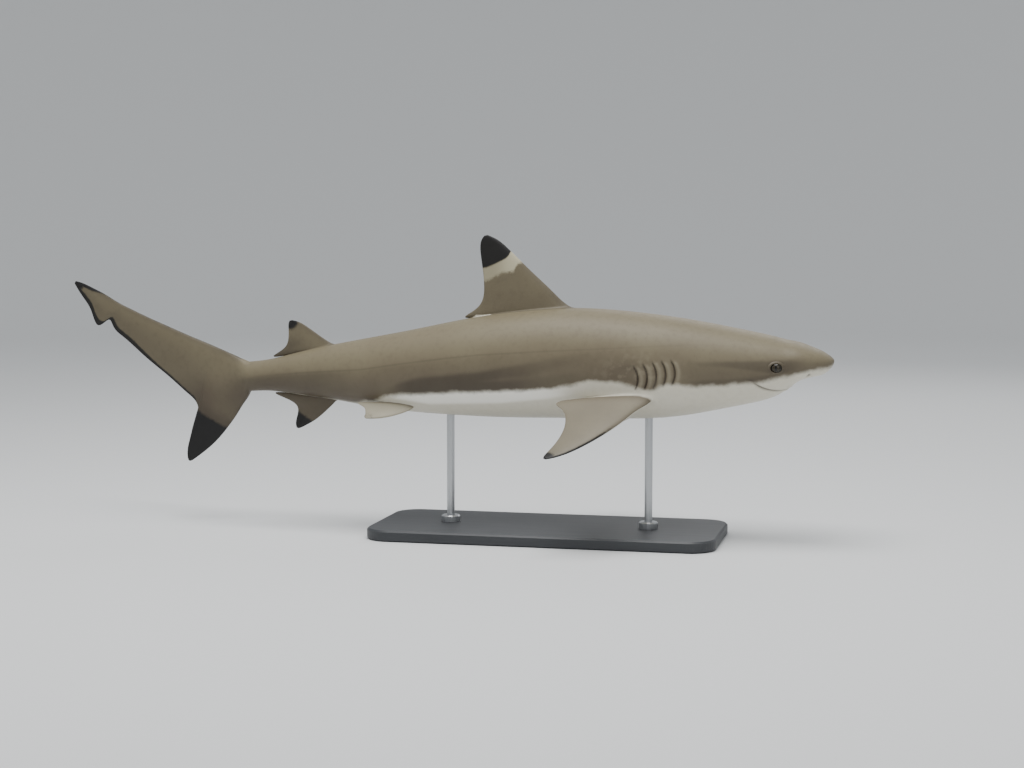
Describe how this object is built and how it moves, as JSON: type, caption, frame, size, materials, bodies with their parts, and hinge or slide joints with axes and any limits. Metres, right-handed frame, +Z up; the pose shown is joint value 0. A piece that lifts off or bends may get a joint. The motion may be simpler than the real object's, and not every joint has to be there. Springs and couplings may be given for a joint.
{
  "type": "blacktip reef shark museum model",
  "caption": "Life-size model of an adult blacktip reef shark swimming level, nose slightly up, held over a flat base by short steel rods.",
  "frame": {"origin": "middle of the underside of the stand's base, which rests on the floor", "axes": "+X towards the snout, +Y to the animal's left, +Z up; the body line climbs 2.5 degrees towards the snout"},
  "size_m": [1.4038, 0.4704, 0.5354],
  "materials": {
    "skin": "smooth shark skin, olive grey-brown above and off-white below with black fin tips",
    "eye": "wet glossy eye with a dark iris and an upright slit pupil",
    "base": "matte charcoal lacquer",
    "rod": "brushed"
  },
  "bodies": {
    "root": {"head": "skin", "jaw": "skin", "gill_region": "skin", "trunk_front": "skin", "trunk_rear": "skin", "tail_stalk": "skin", "dorsal_fin_first": "skin", "dorsal_fin_second": "skin", "anal_fin": "skin", "tail_lobe_upper": "skin", "tail_lobe_lower": "skin", "pectoral_fin_left": "skin", "pectoral_fin_right": "skin", "pelvic_fin_left": "skin", "pelvic_fin_right": "skin", "eye_left": "eye", "eye_right": "eye", "stand_base": "base", "stand_rod_front": "rod", "stand_rod_rear": "rod", "stand_collar_front": "rod", "stand_collar_rear": "rod"}
  },
  "joints": []
}
